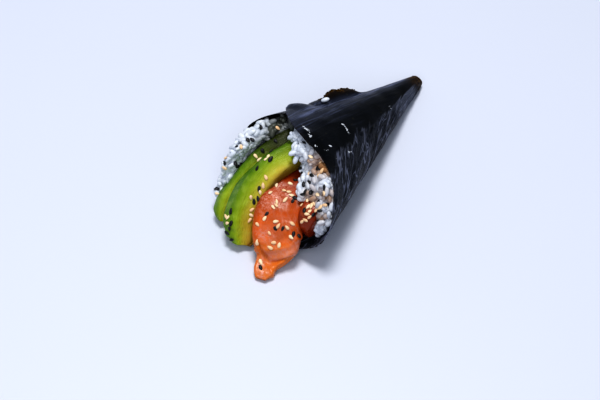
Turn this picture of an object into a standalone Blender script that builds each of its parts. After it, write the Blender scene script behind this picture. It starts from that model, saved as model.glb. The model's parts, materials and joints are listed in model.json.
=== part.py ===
# A temaki hand roll lying on its side: a cone of nori round rice, two avocado slices and two salmon pieces.
# Sizes are in millimetres and angles in degrees. make_object turns the sizes into metres.

import bmesh
import bpy
import numpy as np

MM = 0.001

# Frame: the tip points along +Y, the mouth faces -Y, +Z is up. Lengths along the roll run from the point on
# the floor where the cone's sides would meet (its apex) towards the mouth. Angles go round it from the top
# towards +X.
APEX = (-1.58, 91.61)  # from the middle of the footprint

# Nori sheet, wrapped once round with its ends overlapping on the upper left
HALF_WIDTH_PER_LENGTH = 0.2566
HALF_HEIGHT_PER_LENGTH = 0.2181
SINK_PER_LENGTH = 0.005  # how far the round section is pressed into the floor, which makes the flat underside
# Where the section swells or shrinks: share of its size, middle and reach along the roll, middle and reach
# round it
WAIST = (-0.075, 43, 22, -50, 55)
TIP_SWELL = (0.14, 17, 9, 110, 45)
SHOULDER = (0.12, 80, 22, -61, 30)  # this one rises from the given length, over the given reach, and stays
SHEET_THICKNESS = 0.5
LAYER_GAP = 0.35
TIP_LENGTH = 13.0
OUTER_EDGE_ANGLE = -52.0
INNER_EDGE_ANGLE = 363.0
TUCK_ANGLE = 45.0  # the inner end moves in under the outer end over this angle
RIM_ANGLES = (-52, -25, 4, 42, 60, 87, 138, 165, 200, 240, 287, 308, 363)
RIM_LENGTHS = (100.5, 112.5, 121.5, 125.8, 130, 140, 146.5, 148, 143, 130.5, 118.5, 110, 104)
LIFT_LENGTHS = (50, 56, 62, 70, 76, 82, 88, 95, 101)
LIFTS = (0, 2.2, 5.4, 5.6, 3.6, 2.3, 1.1, 2.5, 0.2)  # how far the free edge stands off at those lengths
LIFT_REACH = 22.0
SHEET_STEPS_ROUND = 60
SHEET_STEPS_ALONG = 16

# Rice: it lines the sheet, closes the mouth round the fillings, and heaps out past the rim on the left
CLEARANCE = 0.32  # between two fillings, or a filling and the rice
LINING_GAP = 0.5  # between the sheet and the rice
WALL_TO_RIM = 2.5
STEP_OUT_AFTER = 3.0  # past the sheet's inner end the rice steps out to the outer layer, over STEP_OUT_ANGLE
STEP_OUT_ANGLE = 20.0
RICE_START = 20.0
RICE_CENTRE_HEIGHT = 27.0
DIP_LENGTH = 106.0
RICE_ANGLES = (-180, -150, -130, -112, -90, -73, -52, -25, 0, 25, 45, 62, 80, 100, 130, 160, 180)
RICE_LENGTHS = (140, 144, 150, 152, 148, 137, 114, 112, 118, 123, 127, 131, 136, 139, 140, 139, 140)
# The front dips in the middle. The dip ends at these shares of the way out from the middle, over DIP_WIDTH.
DIP_ANGLES = (-180, -125, -90, -73, -52, -25, 0, 25, 60, 80, 100, 140, 180)
DIP_EDGES = (0.85, 0.97, 0.95, 0.88, 0.75, 0.6, 0.5, 0.36, 0.38, 0.4, 0.7, 0.8, 0.85)
DIP_WIDTH = 0.22
RICE_STEPS_ROUND = 42
RICE_STEPS_ALONG = 7
RICE_STEPS_FRONT = 9
FRONT_SPREAD = 0.7  # below 1 the front keeps its full width for longer
FRONT_ROUNDING = 4  # power of the front's rounded border
HEAP_ROUGHNESS = 0.9
HEAP_WAVES = (0.9, 0.8)  # radians for each millimetre, sideways and upwards

# Each filling is a row of places along its length, (x, y, z) from the apex, with the section's sizes there.
# Avocado slices: place of the cut face's middle, width, depth at the skin side, depth at the pit side
AVOCADO_STEPS = 17
CUT_FACE_SIDES = (-0.36, 0.3)  # left and right, as shares of the width
BACK_SIDES = (-0.56, 0.48)
AVOCADO_ROUNDING = 0.17
CORNER_STEPS = 3
AVOCADO_LEAN = -20.0
FRONT_SLICE = (
    ((3.2, -80, 24), 5, 4, 3),
    ((3, -84, 27), 10, 8, 5),
    ((2, -95, 33), 14, 10, 6),
    ((0.5, -109, 37), 16, 11, 6.5),
    ((-1.3, -121, 37.5), 16.5, 11.5, 7),
    ((-3.8, -128.7, 36.2), 17, 11.5, 7),
    ((-5.5, -135.7, 33), 17, 11.5, 7),
    ((-6.6, -142, 28.5), 17.5, 11, 7),
    ((-6.2, -148.8, 22), 18.2, 10, 6),
    ((-4.7, -153.8, 15.5), 17.8, 9, 5.5),
    ((-2.4, -157.2, 10), 17, 7, 5),
    ((-1, -159.6, 6.8), 15, 5, 4),
    ((-0.4, -161, 4.8), 10, 2.8, 2.4),
)
REAR_SLICE = (
    ((-2, -84, 21), 5, 4, 3),
    ((-3, -90, 25), 10, 7, 5),
    ((-5.5, -100, 31.5), 15, 9, 6),
    ((-8.3, -111, 33.8), 17, 10, 6),
    ((-11, -118, 32.5), 17.5, 10, 6),
    ((-13.8, -125, 29.2), 17, 10, 6),
    ((-15.6, -133.5, 24.3), 17, 9.5, 6),
    ((-17, -141.6, 19), 16.5, 9, 6),
    ((-18, -147, 14.4), 15.5, 8, 5.5),
    ((-17.8, -151.3, 9.9), 13.5, 6.5, 4.5),
    ((-17.2, -153.9, 6.6), 11, 4.5, 3.5),
    ((-16.8, -155.4, 4.6), 6, 2.5, 2),
)

# Salmon: a thick strip whose front corner folds down to a tongue on the floor, and a smaller piece beside it.
# Place of the middle, left edge, right edge, underside, top
SALMON_STEPS = 20
SALMON_ROUNDING = 0.42  # share of the smaller side
FRONT_STRIP = (
    ((0, -78, 14), -4, 4, -3, 3),
    ((0.3, -82, 15), -7, 7, -4.5, 4.5),
    ((1, -98, 18), -9.5, 9, -5.5, 5.5),
    ((3, -114, 20.5), -11.5, 11, -6, 6),
    ((5, -127, 21.5), -12.5, 12.3, -6.3, 6.3),
    ((7.3, -137, 20), -13.3, 11.8, -6.5, 6.5),
    ((9.6, -144.5, 16.5), -13.5, 11.3, -6.5, 6.5),
    ((12.5, -150, 12), -12.8, 11.6, -5.8, 6),
    ((15.3, -154.5, 7.8), -11, 10.5, -4.6, 5),
    ((16.6, -158, 5.3), -9.5, 6.5, -4, 3.4),
    ((17.3, -161.5, 4.1), -8, 4, -3.4, 1.8),
    ((18.2, -166, 3), -6.8, 3.3, -2.6, 1.6),
    ((19, -169, 2.3), -4.5, 1.5, -1.8, 0.9),
)
SIDE_STEPS = 12
SIDE_PIECE = (
    ((12, -98, 13), -2, 2, -2.5, 2.5),
    ((13, -102, 13.5), -4, 4, -4.5, 4.5),
    ((16, -112, 15.5), -4.5, 4.5, -6.5, 7.5),
    ((19, -126, 18), -5.3, 5, -7.8, 10.5),
    ((21, -135, 18.2), -5.3, 4.8, -9.3, 12.5),
    ((22.2, -140, 16.5), -4.5, 4.3, -7.8, 10),
    ((22.8, -143, 15.5), -2.5, 2.5, -5, 6),
)

# Plain colour and roughness of each piece
LOOKS = {
    "nori": ((0.012, 0.016, 0.022), 0.35),
    "rice": ((0.80, 0.83, 0.87), 0.45),
    "avocado_front": ((0.30, 0.50, 0.05), 0.35),
    "avocado_rear": ((0.25, 0.42, 0.05), 0.4),
    "salmon_front": ((0.85, 0.20, 0.06), 0.3),
    "salmon_side": ((0.40, 0.05, 0.02), 0.3),
}
SHARP_ANGLE = 50.0


def curve_through(xs, ys, x):
    """Smooth curve through the points: each stretch is a cubic whose end slopes come from its neighbours."""
    xs, ys = np.asarray(xs, float), np.asarray(ys, float)
    slopes = np.gradient(ys, xs, axis=0)
    i = np.clip(np.searchsorted(xs, x) - 1, 0, len(xs) - 2)
    step = xs[i + 1] - xs[i]
    t = (x - xs[i]) / step
    if ys.ndim > 1:
        t, step = t[:, None], step[:, None]
    rise = t * t * (3 - 2 * t)
    lead = t * (1 - t) ** 2 * step
    tail = -t * t * (1 - t) * step
    return ys[i] * (1 - rise) + ys[i + 1] * rise + slopes[i] * lead + slopes[i + 1] * tail


def smooth_step(x):
    x = np.clip(x, 0, 1)
    return x * x * (3 - 2 * x)


def bump(x, centre, width):
    return np.exp(-(((x - centre) / width) ** 2))


def round_bump(angle, centre, width):
    """A bump on a circle, with its width in degrees."""
    return np.exp((np.cos(np.radians(angle - centre)) - 1) / (1 - np.cos(np.radians(width))))


def section_size(angle, length):
    """Size of the section as a share of the plain cone's: narrower at the waist on the upper left, fuller at
    the shoulder beside the mouth and just behind the tip."""
    size = 1.0
    for share, middle, reach, towards, spread in (WAIST, TIP_SWELL):
        size = size + share * bump(length, middle, reach) * round_bump(angle, towards, spread)
    share, start, reach, towards, spread = SHOULDER
    return size + share * smooth_step((length - start) / reach) * round_bump(angle, towards, spread)


def cone_point(angle, length, offset):
    """Point of the roll's section: an ellipse that grows with the length, flat underneath. Offset moves it
    outwards."""
    size = section_size(angle, length)
    turn = np.radians(angle)
    half_width = HALF_WIDTH_PER_LENGTH * length * size + offset
    half_height = HALF_HEIGHT_PER_LENGTH * length * size + offset
    middle = (HALF_HEIGHT_PER_LENGTH - SINK_PER_LENGTH) * length
    x = half_width * np.sin(turn)
    z = np.maximum(middle + half_height * np.cos(turn), -offset)
    return np.stack([x, -length + 0 * x, z], axis=-1)


def rim_length(angle):
    return curve_through(RIM_ANGLES, RIM_LENGTHS, angle)


def tuck(angle):
    """How far the sheet's inner end has moved in under the outer end, from 0 to 1."""
    return smooth_step((angle - (OUTER_EDGE_ANGLE + 360 - TUCK_ANGLE)) / TUCK_ANGLE)


def edge_lift(angle, length):
    """The outer free edge stands off the roll: a torn lip behind the ridge, then a low hump at the rim."""
    share = 1 - smooth_step((angle - OUTER_EDGE_ANGLE) / LIFT_REACH)
    return share * curve_through(LIFT_LENGTHS, LIFTS, np.clip(length, LIFT_LENGTHS[0], LIFT_LENGTHS[-1]))


def nori():
    """The sheet as one closed wall: a grid for the outer face, one for the inner face, strips round them."""
    u = np.linspace(0, 1, SHEET_STEPS_ROUND + 1)[:, None]
    v = np.linspace(0, 1, SHEET_STEPS_ALONG + 1)[None, :]
    angle = OUTER_EDGE_ANGLE + (INNER_EDGE_ANGLE - OUTER_EDGE_ANGLE) * u + 0 * v
    length = TIP_LENGTH + (rim_length(angle[:, 0])[:, None] - TIP_LENGTH) * v
    outer = edge_lift(angle, length) - (SHEET_THICKNESS + LAYER_GAP) * tuck(angle)
    faces_out = cone_point(angle, length, outer)
    faces_in = cone_point(angle, length, outer - SHEET_THICKNESS)
    return sheet_mesh(faces_out, faces_in)


def sheet_mesh(outer, inner):
    rows, columns = outer.shape[:2]
    points = np.concatenate([outer.reshape(-1, 3), inner.reshape(-1, 3)])
    number = np.arange(rows * columns).reshape(rows, columns)
    below = number + rows * columns
    quads = []

    def strip(a, b, c, d):
        quads.append(np.stack([a.ravel(), b.ravel(), c.ravel(), d.ravel()], axis=1))

    strip(number[:-1, :-1], number[1:, :-1], number[1:, 1:], number[:-1, 1:])
    strip(below[:-1, :-1], below[:-1, 1:], below[1:, 1:], below[1:, :-1])
    strip(number[:-1, -1], number[1:, -1], below[1:, -1], below[:-1, -1])
    strip(number[1:, 0], number[:-1, 0], below[:-1, 0], below[1:, 0])
    strip(number[0, 1:], below[0, 1:], below[0, :-1], number[0, :-1])
    strip(number[-1, :-1], below[-1, :-1], below[-1, 1:], number[-1, 1:])
    return points, np.concatenate(quads).tolist()


def loft_mesh(rings):
    """Closed body through rings of equally many points, each end closed by a fan round its middle."""
    rings = np.asarray(rings)
    count, around = rings.shape[:2]
    middles = np.stack([rings[0].mean(axis=0), rings[-1].mean(axis=0)])
    points = np.concatenate([rings.reshape(-1, 3), middles])
    number = np.arange(count * around).reshape(count, around)
    after = np.roll(number, -1, axis=1)
    walls = np.stack([number[:-1], after[:-1], after[1:], number[1:]], axis=-1).reshape(-1, 4).tolist()
    start, end = count * around, count * around + 1
    fans = [[start, b, a] for a, b in zip(number[0], after[0])]
    fans += [[end, a, b] for a, b in zip(number[-1], after[-1])]
    return points, walls + [[int(i) for i in fan] for fan in fans]


def rounded_outline(corners, radius, steps):
    """Polygon with its corners rounded: each corner becomes a quadratic curve of this many steps."""
    corners = np.asarray(corners, float)
    points = []
    for before, corner, after in zip(np.roll(corners, 1, axis=0), corners, np.roll(corners, -1, axis=0)):
        into = (before - corner) / np.linalg.norm(before - corner)
        out = (after - corner) / np.linalg.norm(after - corner)
        for t in np.linspace(0, 1, steps + 1):
            points.append(corner + radius * (into * (1 - t) ** 2 + out * t**2))
    return np.array(points)


def avocado_outline(width, skin_depth, pit_depth, grow):
    """Section of a slice: cut face on top, skin side sloping down on the left, pit side on the right."""
    left, right = CUT_FACE_SIDES
    back_left, back_right = BACK_SIDES
    corners = [(left * width, 0), (right * width, 0)]
    corners += [(back_right * width, -pit_depth), (back_left * width, -skin_depth)]
    outline = rounded_outline(corners, AVOCADO_ROUNDING * width, CORNER_STEPS)
    middle = np.array([(back_left + back_right) / 2 * width, -pit_depth / 2])
    reach = np.linalg.norm(outline - middle, axis=1)[:, None]
    return outline + (outline - middle) / reach * grow


def strip_outline(left, right, low, high, grow):
    left, right, low, high = left - grow, right + grow, low - grow, high + grow
    corners = [(left, high), (right, high), (right, low), (left, low)]
    return rounded_outline(corners, SALMON_ROUNDING * min(right - left, high - low), CORNER_STEPS)


def loft_along(rows, steps, lean, outline, grow=0.0):
    """Body lofted through a filling's rows, its rings closer together towards the ends. The section stands
    across the path with its side level, and then leans about the path; grow adds to it all round."""
    places = np.array([row[0] for row in rows], float)
    sizes = np.array([row[1:] for row in rows], float)
    run = np.concatenate([[0], np.cumsum(np.linalg.norm(np.diff(places, axis=0), axis=1))])
    at = run[-1] * (1 - np.cos(np.linspace(0, np.pi, steps + 1))) / 2
    path = curve_through(run, places, at)
    size = curve_through(run, sizes, at)
    turn = np.radians(lean)
    rings = []
    for i, place in enumerate(path):
        ahead = path[min(i + 1, steps)] - path[max(i - 1, 0)]
        ahead /= np.linalg.norm(ahead)
        level = np.cross([0, 0, 1.0], ahead)
        level /= np.linalg.norm(level)
        up = np.cross(ahead, level)
        side = np.cos(turn) * level + np.sin(turn) * up
        rise = np.cos(turn) * up - np.sin(turn) * level
        points = outline(*size[i], grow)
        end = ahead * grow * ((i == steps) - (i == 0))
        rings.append(place + end + points[:, :1] * side + points[:, 1:] * rise)
    return loft_mesh(rings)


def avocado(rows, grow=0.0):
    return loft_along(rows, AVOCADO_STEPS, AVOCADO_LEAN, avocado_outline, grow)


def salmon(rows, steps, grow=0.0):
    return loft_along(rows, steps, 0.0, strip_outline, grow)


def rice():
    """Lining of the sheet, closed by an uneven front whose length along the roll changes with the angle."""
    angle = np.linspace(-180, 180, RICE_STEPS_ROUND, endpoint=False)
    along_sheet = np.where(angle < OUTER_EDGE_ANGLE, angle + 360, angle)
    past_inner_end = smooth_step((angle - (INNER_EDGE_ANGLE - 360) - STEP_OUT_AFTER) / STEP_OUT_ANGLE)
    tucked = np.where(angle < OUTER_EDGE_ANGLE, tuck(along_sheet), 1 - past_inner_end)
    offset = -(SHEET_THICKNESS + LINING_GAP) - (SHEET_THICKNESS + LAYER_GAP) * tucked
    front_end = curve_through(RICE_ANGLES, RICE_LENGTHS, angle)
    wall_end = np.minimum(rim_length(along_sheet), front_end) - WALL_TO_RIM
    dip_edge = curve_through(DIP_ANGLES, DIP_EDGES, angle)
    rings = []
    for share in np.linspace(0, 1, RICE_STEPS_ALONG + 1):
        rings.append(cone_point(angle, RICE_START + (wall_end - RICE_START) * share, offset))
    middle = np.array([0, 0, RICE_CENTRE_HEIGHT])
    for share in np.linspace(0, 1, RICE_STEPS_FRONT + 1)[1:-1]:
        reach = np.cos(share * np.pi / 2) ** FRONT_SPREAD
        out = (1 - reach**FRONT_ROUNDING) ** (1 / FRONT_ROUNDING)
        ring = middle + (rings[RICE_STEPS_ALONG] - middle) * reach
        rise = smooth_step((reach - dip_edge) / DIP_WIDTH + 1)
        full = DIP_LENGTH + (front_end - DIP_LENGTH) * rise
        waves = np.sin(HEAP_WAVES[0] * ring[:, 0] + 2 * share) * np.cos(HEAP_WAVES[1] * ring[:, 2] + share)
        ring[:, 1] = -(wall_end + (full - wall_end + HEAP_ROUGHNESS * waves) * out)
        rings.append(ring)
    return loft_mesh(rings)


def material(name):
    colour, roughness = LOOKS[name]
    made = bpy.data.materials.new(name)
    made.use_nodes = True
    shader = made.node_tree.nodes["Principled BSDF"]
    shader.inputs["Base Color"].default_value = (*colour, 1)
    shader.inputs["Roughness"].default_value = roughness
    shader.inputs["Metallic"].default_value = 0
    return made


def make_object(name, shape):
    points, faces = shape
    placed = (np.asarray(points) + np.array([*APEX, 0])) * MM
    mesh = bpy.data.meshes.new(name)
    mesh.from_pydata(placed.tolist(), [], faces)
    model = bmesh.new()
    model.from_mesh(mesh)
    bmesh.ops.triangulate(model, faces=model.faces)
    if model.calc_volume(signed=True) < 0:
        bmesh.ops.reverse_faces(model, faces=model.faces)
    model.to_mesh(mesh)
    model.free()
    mesh.shade_smooth()
    mesh.set_sharp_from_angle(angle=np.radians(SHARP_ANGLE))
    made = bpy.data.objects.new(name, mesh)
    bpy.context.scene.collection.objects.link(made)
    if name in LOOKS:
        mesh.materials.append(material(name))
    return made


def make_cutter(name, shape):
    cutter = make_object(name, shape)
    cutter.hide_render = True
    cutter.display_type = "WIRE"
    return cutter


def cut(piece, cutter):
    modifier = piece.modifiers.new("room for " + cutter.name, "BOOLEAN")
    modifier.operation = "DIFFERENCE"
    modifier.solver = "EXACT"
    modifier.object = cutter


def build():
    for old in list(bpy.data.objects):
        bpy.data.objects.remove(old)
    make_object("nori", nori())
    make_object("avocado_front", avocado(FRONT_SLICE))
    rear = make_object("avocado_rear", avocado(REAR_SLICE))
    front = make_object("salmon_front", salmon(FRONT_STRIP, SALMON_STEPS))
    side = make_object("salmon_side", salmon(SIDE_PIECE, SIDE_STEPS))
    heap = make_object("rice", rice())
    room = {
        "avocado_front_room": avocado(FRONT_SLICE, CLEARANCE),
        "avocado_rear_room": avocado(REAR_SLICE, CLEARANCE),
        "salmon_front_room": salmon(FRONT_STRIP, SALMON_STEPS, CLEARANCE),
        "salmon_side_room": salmon(SIDE_PIECE, SIDE_STEPS, CLEARANCE),
    }
    cutters = {name: make_cutter(name, shape) for name, shape in room.items()}
    cut(rear, cutters["avocado_front_room"])
    cut(front, cutters["avocado_front_room"])
    cut(front, cutters["avocado_rear_room"])
    cut(side, cutters["salmon_front_room"])
    for cutter in cutters.values():
        cut(heap, cutter)


build()
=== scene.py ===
import json
import math

import bpy
import numpy as np
from mathutils import Matrix, Vector
from mathutils.bvhtree import BVHTree


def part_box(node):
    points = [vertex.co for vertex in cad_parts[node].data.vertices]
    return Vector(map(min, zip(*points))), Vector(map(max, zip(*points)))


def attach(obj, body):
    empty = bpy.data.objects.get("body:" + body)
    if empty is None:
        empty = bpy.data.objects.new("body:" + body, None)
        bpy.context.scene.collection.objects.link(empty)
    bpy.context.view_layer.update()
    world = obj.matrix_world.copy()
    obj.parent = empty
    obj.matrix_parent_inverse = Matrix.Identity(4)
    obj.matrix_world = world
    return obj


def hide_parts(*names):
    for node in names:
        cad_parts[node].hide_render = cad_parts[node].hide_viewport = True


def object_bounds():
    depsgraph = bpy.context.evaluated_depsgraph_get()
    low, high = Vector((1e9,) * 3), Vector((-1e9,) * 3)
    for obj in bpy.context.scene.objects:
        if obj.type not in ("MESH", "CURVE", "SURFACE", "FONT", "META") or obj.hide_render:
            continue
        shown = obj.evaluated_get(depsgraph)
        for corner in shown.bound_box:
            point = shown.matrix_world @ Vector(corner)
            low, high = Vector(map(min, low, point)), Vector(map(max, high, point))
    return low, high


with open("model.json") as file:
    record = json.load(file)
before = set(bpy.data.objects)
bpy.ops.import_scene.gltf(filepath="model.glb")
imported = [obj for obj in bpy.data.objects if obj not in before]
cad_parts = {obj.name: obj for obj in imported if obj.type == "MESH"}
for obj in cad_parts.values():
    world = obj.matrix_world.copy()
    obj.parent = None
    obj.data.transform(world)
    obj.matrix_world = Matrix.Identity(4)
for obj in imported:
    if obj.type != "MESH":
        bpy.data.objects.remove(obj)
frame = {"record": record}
cadBounds = [list(corner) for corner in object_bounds()]
mm = 0.001
restPoint = frame["record"]["mounts"][0]["pos_m"]

# The roll is a cone: its section is an ellipse that grows with the distance from the apex beyond its tip
roll = {
    "tipLength": 13.0,
    "apex": np.array([restPoint[0] / mm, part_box("nori")[1].y / mm + 13.0, 0.0]),
    "halfWidth": 0.2566,  # for each millimetre from the apex
    "halfHeight": 0.2181,
    "meanRadius": 0.24,
    "arcPerDegree": 0.0042,
    "sink": 0.005,
    "outerEdge": -52.0,  # degrees from the top, towards +X
    "innerEdge": 363.0,
    "tuckAngle": 45.0,
    "rimAngles": (-52, -25, 4, 42, 60, 87, 138, 165, 200, 240, 287, 308, 363),
    "rimLengths": (100.5, 112.5, 121.5, 125.8, 130, 140, 146.5, 148, 143, 130.5, 118.5, 110, 104),
}
random = np.random.default_rng(7)


def smoothStep(x):
    x = np.clip(x, 0, 1)
    return x * x * (3 - 2 * x)


def bump(x, centre, width):  # exp(-((x - centre) / width)^2)
    return np.exp(-(((x - centre) / width) ** 2))


def roundBump(angle, centre, width):  # a bump on a circle, in degrees
    return np.exp((np.cos(np.radians(angle - centre)) - 1) / (1 - np.cos(np.radians(width))))


def curveThrough(xs, ys, x):  # cubic on each stretch, with slopes from the points on either side
    xs, ys = np.asarray(xs, float), np.asarray(ys, float)
    slopes = np.gradient(ys, xs, axis=0)
    x = np.clip(x, xs[0], xs[-1])
    i = np.clip(np.searchsorted(xs, x) - 1, 0, len(xs) - 2)
    step = xs[i + 1] - xs[i]
    t = (x - xs[i]) / step
    if ys.ndim > 1:
        t, step = t[..., None], step[..., None]
    rise = t * t * (3 - 2 * t)
    lead = slopes[i] * t * (1 - t) ** 2 * step
    tail = slopes[i + 1] * t * t * (1 - t) * step
    return ys[i] * (1 - rise) + ys[i + 1] * rise + lead - tail


def softNoise(points, size=1.0, seed=0):  # random values at lattice corners, blended smoothly, -1 to 1
    place = np.asarray(points, float) / size + 500.0
    cell = np.floor(place).astype(np.int64)
    part = smoothStep(place - cell)
    total = 0.0
    for corner in np.ndindex(2, 2, 2):
        key = cell + corner
        mixed = key[..., 0] * 73856093 ^ key[..., 1] * 19349663 ^ key[..., 2] * 83492791
        mixed = mixed ^ (seed + 11) * 40503
        mixed = ((mixed ^ (mixed >> 13)) * 1274126177) & 0xFFFFFFFF
        value = ((mixed >> 9) & 0xFFFF) / 32767.5 - 1
        weight = np.prod(np.where(np.array(corner) == 1, part, 1 - part), axis=-1)
        total = total + value * weight
    return total


def flatNoise(x, y, seed):  # the same over two coordinates
    x, y = np.broadcast_arrays(x, y)
    return softNoise(np.stack([x, y, 0.37 + 0 * x], axis=-1), 1.0, seed)


def unit(vectors):
    return vectors / np.maximum(np.linalg.norm(vectors, axis=-1, keepdims=True), 1e-9)


def gridFaces(rows, columns, closed=False, first=0):  # quads of a grid; closed joins its sides
    number = first + np.arange(rows * columns).reshape(rows, columns)
    here = number if closed else number[:, :-1]
    there = np.roll(number, -1, axis=1) if closed else number[:, 1:]
    return np.stack([here[:-1], there[:-1], there[1:], here[1:]], axis=-1).reshape(-1, 4)


def enclosed(points, faces):  # six times the volume inside quads, negative when they face inwards
    first, second = faces[:, :3], faces[:, [0, 2, 3]]
    return np.linalg.det(points[first]).sum() + np.linalg.det(points[second]).sum()


def closedSheet(outside, inside):  # two grids of points, joined round their four edges into one closed wall
    rows, columns = outside.shape[:2]
    count = rows * columns
    number = np.arange(count).reshape(rows, columns)
    faces = [gridFaces(rows, columns)[:, ::-1], gridFaces(rows, columns, first=count)]
    for side in (number[:, -1], number[::-1, 0], number[0], number[-1, ::-1]):
        faces.append(np.stack([side[:-1], side[1:], side[1:] + count, side[:-1] + count], axis=-1))
    points = np.concatenate([outside.reshape(-1, 3), inside.reshape(-1, 3)])
    faces = np.concatenate(faces)
    return points, faces if enclosed(points, faces) > 0 else faces[:, ::-1]


def makePiece(name, points, faces, material, replaced=(), values=None, uv=None):
    mesh = bpy.data.meshes.new(name)
    placed = (np.asarray(points).reshape(-1, 3) * mm).tolist()
    mesh.from_pydata(placed, [], [list(map(int, face)) for face in faces])
    for key, value in (values or {}).items():
        attribute = mesh.attributes.new(key, "FLOAT", "POINT")
        attribute.data.foreach_set("value", np.asarray(value, np.float32).ravel())
    if uv is not None:
        corners = np.zeros(len(mesh.loops), np.int32)
        mesh.loops.foreach_get("vertex_index", corners)
        layer = mesh.uv_layers.new(name="UVMap")
        layer.uv.foreach_set("vector", np.asarray(uv, np.float32).reshape(-1, 2)[corners].ravel())
    mesh.shade_smooth()
    mesh.materials.append(material)
    piece = bpy.data.objects.new(name, mesh)
    bpy.context.scene.collection.objects.link(piece)
    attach(piece, "root")
    if replaced:
        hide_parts(*replaced)
    print(name, len(mesh.polygons), "faces")
    return piece


class Wire:  # a shader socket that Python's operators work on; each one adds a Math node
    def __init__(self, look, socket):
        self.look, self.socket = look, socket

    def math(self, operation, *values):
        return self.look.add("ShaderNodeMath", {"operation": operation}, dict(enumerate(values)))

    def __add__(self, other):
        return self.math("ADD", self, other)

    def __radd__(self, other):
        return self.math("ADD", other, self)

    def __sub__(self, other):
        return self.math("SUBTRACT", self, other)

    def __rsub__(self, other):
        return self.math("SUBTRACT", other, self)

    def __mul__(self, other):
        return self.math("MULTIPLY", self, other)

    def __rmul__(self, other):
        return self.math("MULTIPLY", other, self)

    def clamp(self):
        return self.look.add("ShaderNodeClamp", {}, {"Value": self})

    def step(self, low, high):  # smooth rise from 0 at low to 1 at high
        inputs = {"Value": self, "From Min": low, "From Max": high}
        return self.look.add("ShaderNodeMapRange", {"interpolation_type": "SMOOTHSTEP"}, inputs)


class Look:  # one material and its nodes
    def __init__(self, name, **fixed):
        self.material = bpy.data.materials.new(name)
        self.material.use_nodes = True
        self.tree = self.material.node_tree
        self.shader = self.tree.nodes["Principled BSDF"]
        for key, value in fixed.items():
            self.shader.inputs[key.replace("_", " ")].default_value = value

    def add(self, kind, settings, inputs, output=0):
        node = self.tree.nodes.new(kind)
        for key, value in settings.items():
            if key == "stops":
                self.fillRamp(node.color_ramp, value)
            else:
                setattr(node, key, value)
        for key, value in inputs.items():
            if isinstance(value, Wire):
                self.tree.links.new(value.socket, node.inputs[key])
            else:
                node.inputs[key].default_value = value
        return Wire(self, node.outputs[output])

    def fillRamp(self, ramp, stops):
        while len(ramp.elements) < len(stops):
            ramp.elements.new(0.5)
        for element, (place, colour) in zip(ramp.elements, stops):
            element.position = place
            element.color = (*colour, 1)

    def value(self, name):
        return self.add("ShaderNodeAttribute", {"attribute_name": name}, {}, "Fac")

    def place(self, scale=(1, 1, 1), source="Object", turn=0.0):
        start = self.add("ShaderNodeTexCoord", {}, {}, source)
        inputs = {"Vector": start, "Scale": scale, "Rotation": (0, 0, math.radians(turn))}
        return self.add("ShaderNodeMapping", {}, inputs)

    def noise(self, place, scale, detail=3.0, roughness=0.5, distortion=0.0):
        inputs = {"Vector": place, "Scale": scale, "Detail": detail, "Roughness": roughness}
        inputs["Distortion"] = distortion
        return self.add("ShaderNodeTexNoise", {}, inputs)

    def ramp(self, value, stops):
        return self.add("ShaderNodeValToRGB", {"stops": stops}, {"Fac": value})

    def mix(self, share, a, b):
        a, b = [colour if isinstance(colour, Wire) else (*colour, 1) for colour in (a, b)]
        return self.add("ShaderNodeMix", {"data_type": "RGBA"}, {0: share, 6: a, 7: b}, 2)

    def bumpFrom(self, height, distance, strength=1.0):
        inputs = {"Height": height, "Distance": distance, "Strength": strength}
        return self.add("ShaderNodeBump", {}, inputs)

    def feed(self, **wires):
        for key, wire in wires.items():
            self.tree.links.new(wire.socket, self.shader.inputs[key.replace("_", " ")])
        return self.material


nori = {
    "thickness": 0.32,
    "cadThickness": 0.5,
    "layerGap": 0.35,
    "stepsRound": 250,
    "stepsAlong": 176,
    "inset": 0.3,  # how far the wrinkled sheet stays inside the plain one
    "dents": 0.16,  # heights of the reliefs
    "crinkles": 0.34,
    "threads": 0.06,
    "fibreCurve": (0.0078, 0.128),  # how the fibres bend away from the roll's length
    "flankFrom": 43.0,  # the crinkled side starts here, in degrees
    "blister": (2.5, 115.3, 0.8, 2.0),  # a small bulge near the rim: angle, length, height, radius
    "rimUneven": 0.35,
    "liftLengths": (50, 54.5, 57, 60, 64, 70, 76, 80, 85, 88, 91, 94, 97, 99, 101),
    "lifts": (0, 1.2, 3.4, 4.8, 5.6, 5.6, 3.6, 2.6, 1.9, 1.1, 2.2, 2.6, 2.3, 1.3, 0.2),
    "tearFrom": 54.0,  # the free edge is torn between these lengths
    "tearTo": 84.0,
    "tearDepth": 1.5,
    "foldAngle": 15.0,  # the lip bends up from here, in degrees from the free edge
    "flakes": 150,
    "tipFlakes": 40,
    "dropSize": (0.75, 0.36, 0.20),
    "drops": (  # rows of dried starch, pale to paint glints as well: from (angle, length) to (angle, length), count, spread
        ((16, 92.3), (31.5, 95), 14, 0.25), ((-6, 113), (-2, 114.6), 4, 0.5),
        ((0, 114), (9.5, 117.8), 14, 0.6), ((18, 120.4), (21, 120.6), 2, 0.4),
        ((26, 116), (41, 117), 3, 1.5), ((27, 118.8), (36, 118), 2, 1.2),
        ((44, 105.8), (49, 104.2), 3, 0.5), ((37, 52.9), (46, 54.5), 3, 0.4),
    ),
}


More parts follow.
